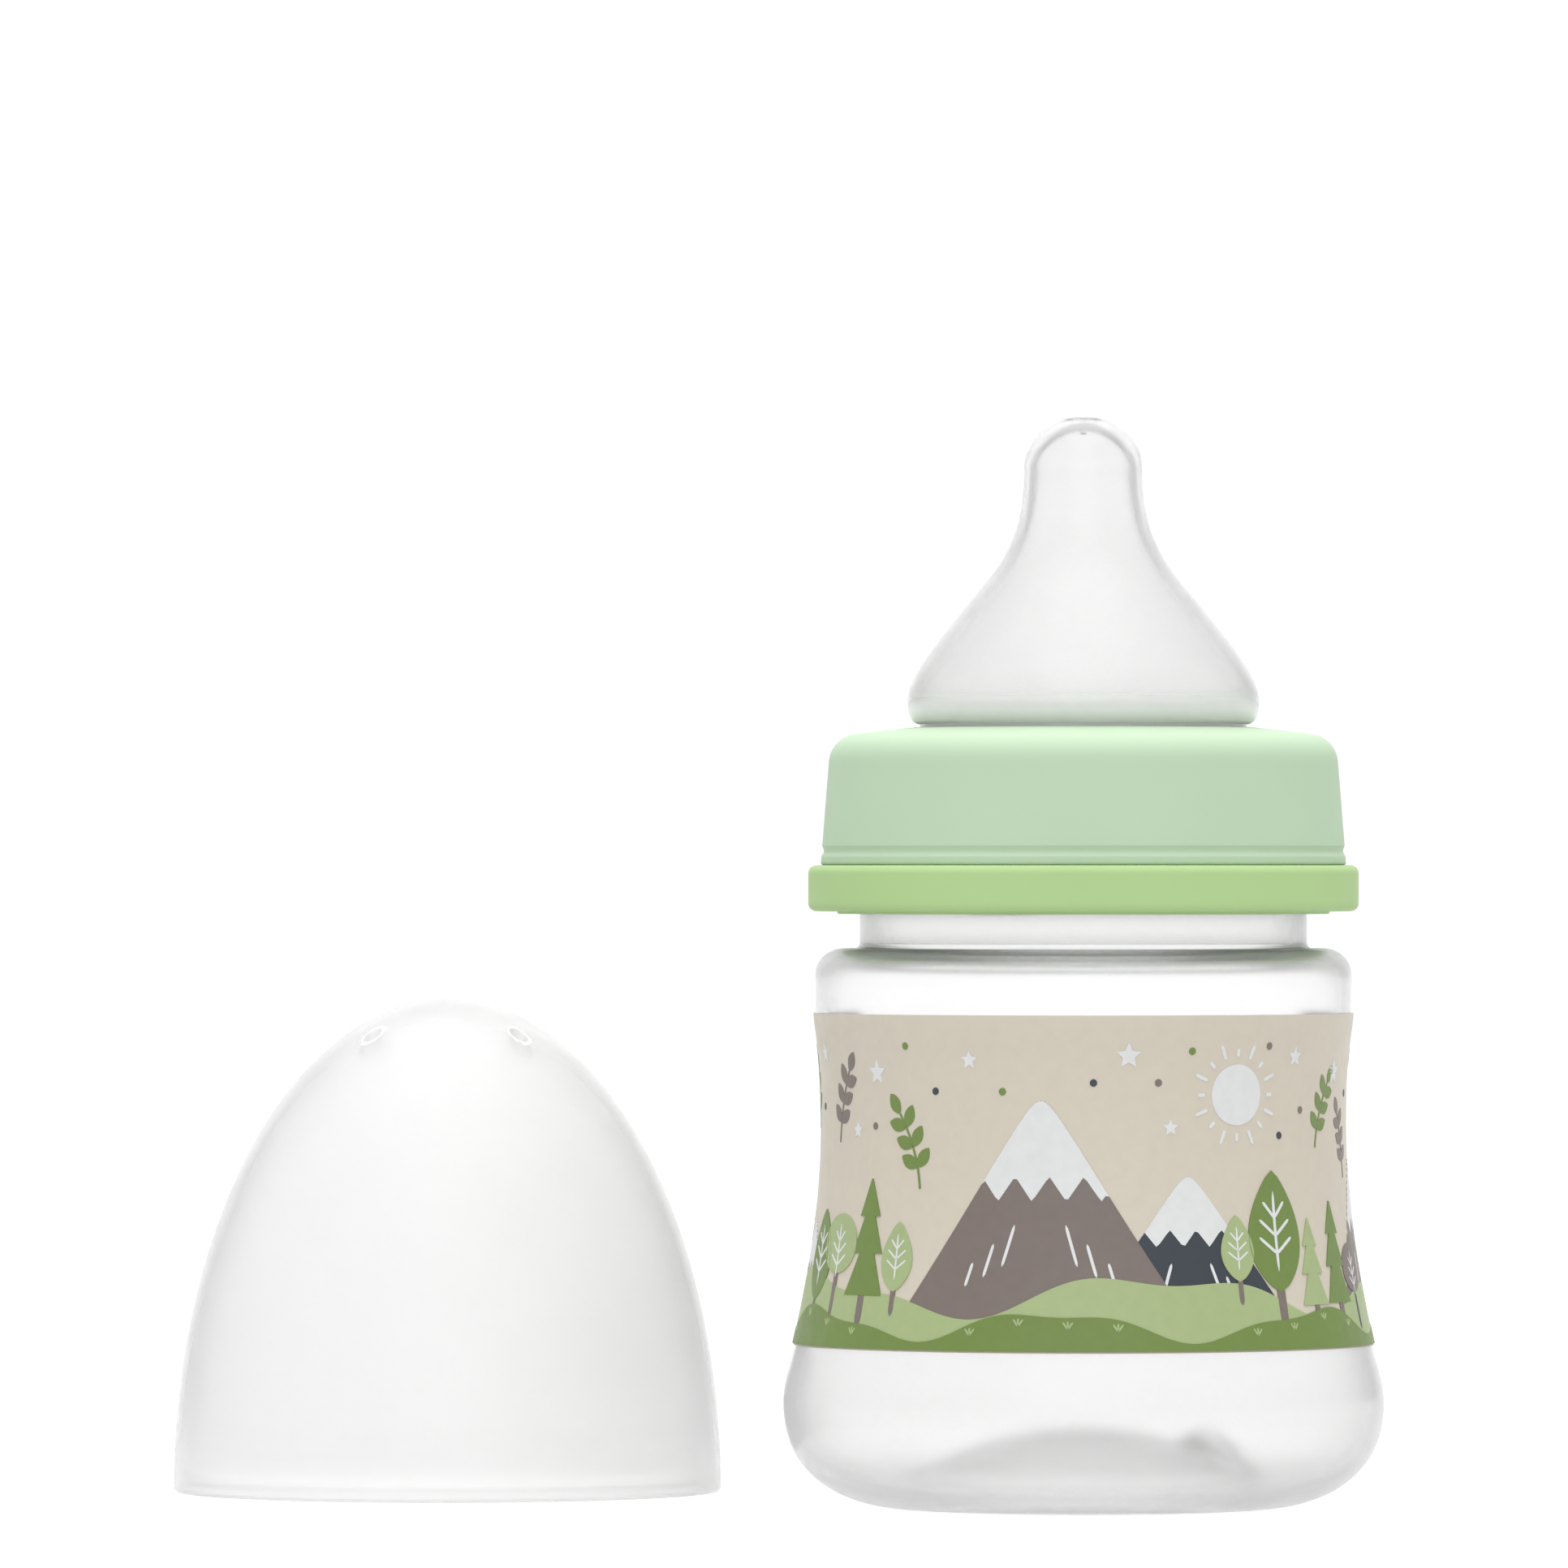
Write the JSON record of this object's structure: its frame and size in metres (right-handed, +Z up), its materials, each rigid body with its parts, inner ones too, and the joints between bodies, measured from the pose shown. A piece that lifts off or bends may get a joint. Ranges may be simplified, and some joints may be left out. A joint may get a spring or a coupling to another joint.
{
  "type": "baby bottle",
  "caption": "Wide-neck baby bottle: clear waisted body with a printed band, soft teat clamped by a two-colour screw collar, and a milky dome cap standing beside it.",
  "frame": {"origin": "middle of the ring that the bottle stands on, on the bottle's axis", "axes": "+Z up along the bottle's axis, +X to the right and +Y away from the viewer of the picture's side"},
  "size_m": [0.1387, 0.1057, 0.1233],
  "materials": {
    "clear_plastic": "clear, glossy polypropylene",
    "printed_film": "matt printed film",
    "silicone": "clear soft silicone",
    "mint_plastic": "satin, slightly translucent",
    "lime_plastic": "satin",
    "milky_plastic": "milky, finely frosted"
  },
  "bodies": {
    "bottle": {"bottle_body": "clear_plastic", "printed_band": "printed_film"},
    "teat": {"teat": "silicone"},
    "collar": {"screw_collar": "mint_plastic", "collar_base_ring": "lime_plastic"},
    "cap": {"dome_cap": "milky_plastic"}
  },
  "joints": [
    {"name": "teat_lift", "type": "slide", "parent": "bottle", "child": "teat", "axis": [0, 0, 1], "range_m": [0, 0.024]},
    {"name": "collar_turn", "type": "hinge", "parent": "teat", "child": "collar", "pos_m": [0, 0, 0.0776], "axis": [0, 0, 1], "range_deg": [0, 1440]},
    {"name": "cap_lift", "type": "slide", "parent": "bottle", "child": "cap", "axis": [0, 0, 1], "range_m": [0, 0.13]}
  ],
  "couplings": [
    {"joint": "teat_lift", "follows": "collar_turn", "m_per_rad": 0.00095493}
  ]
}
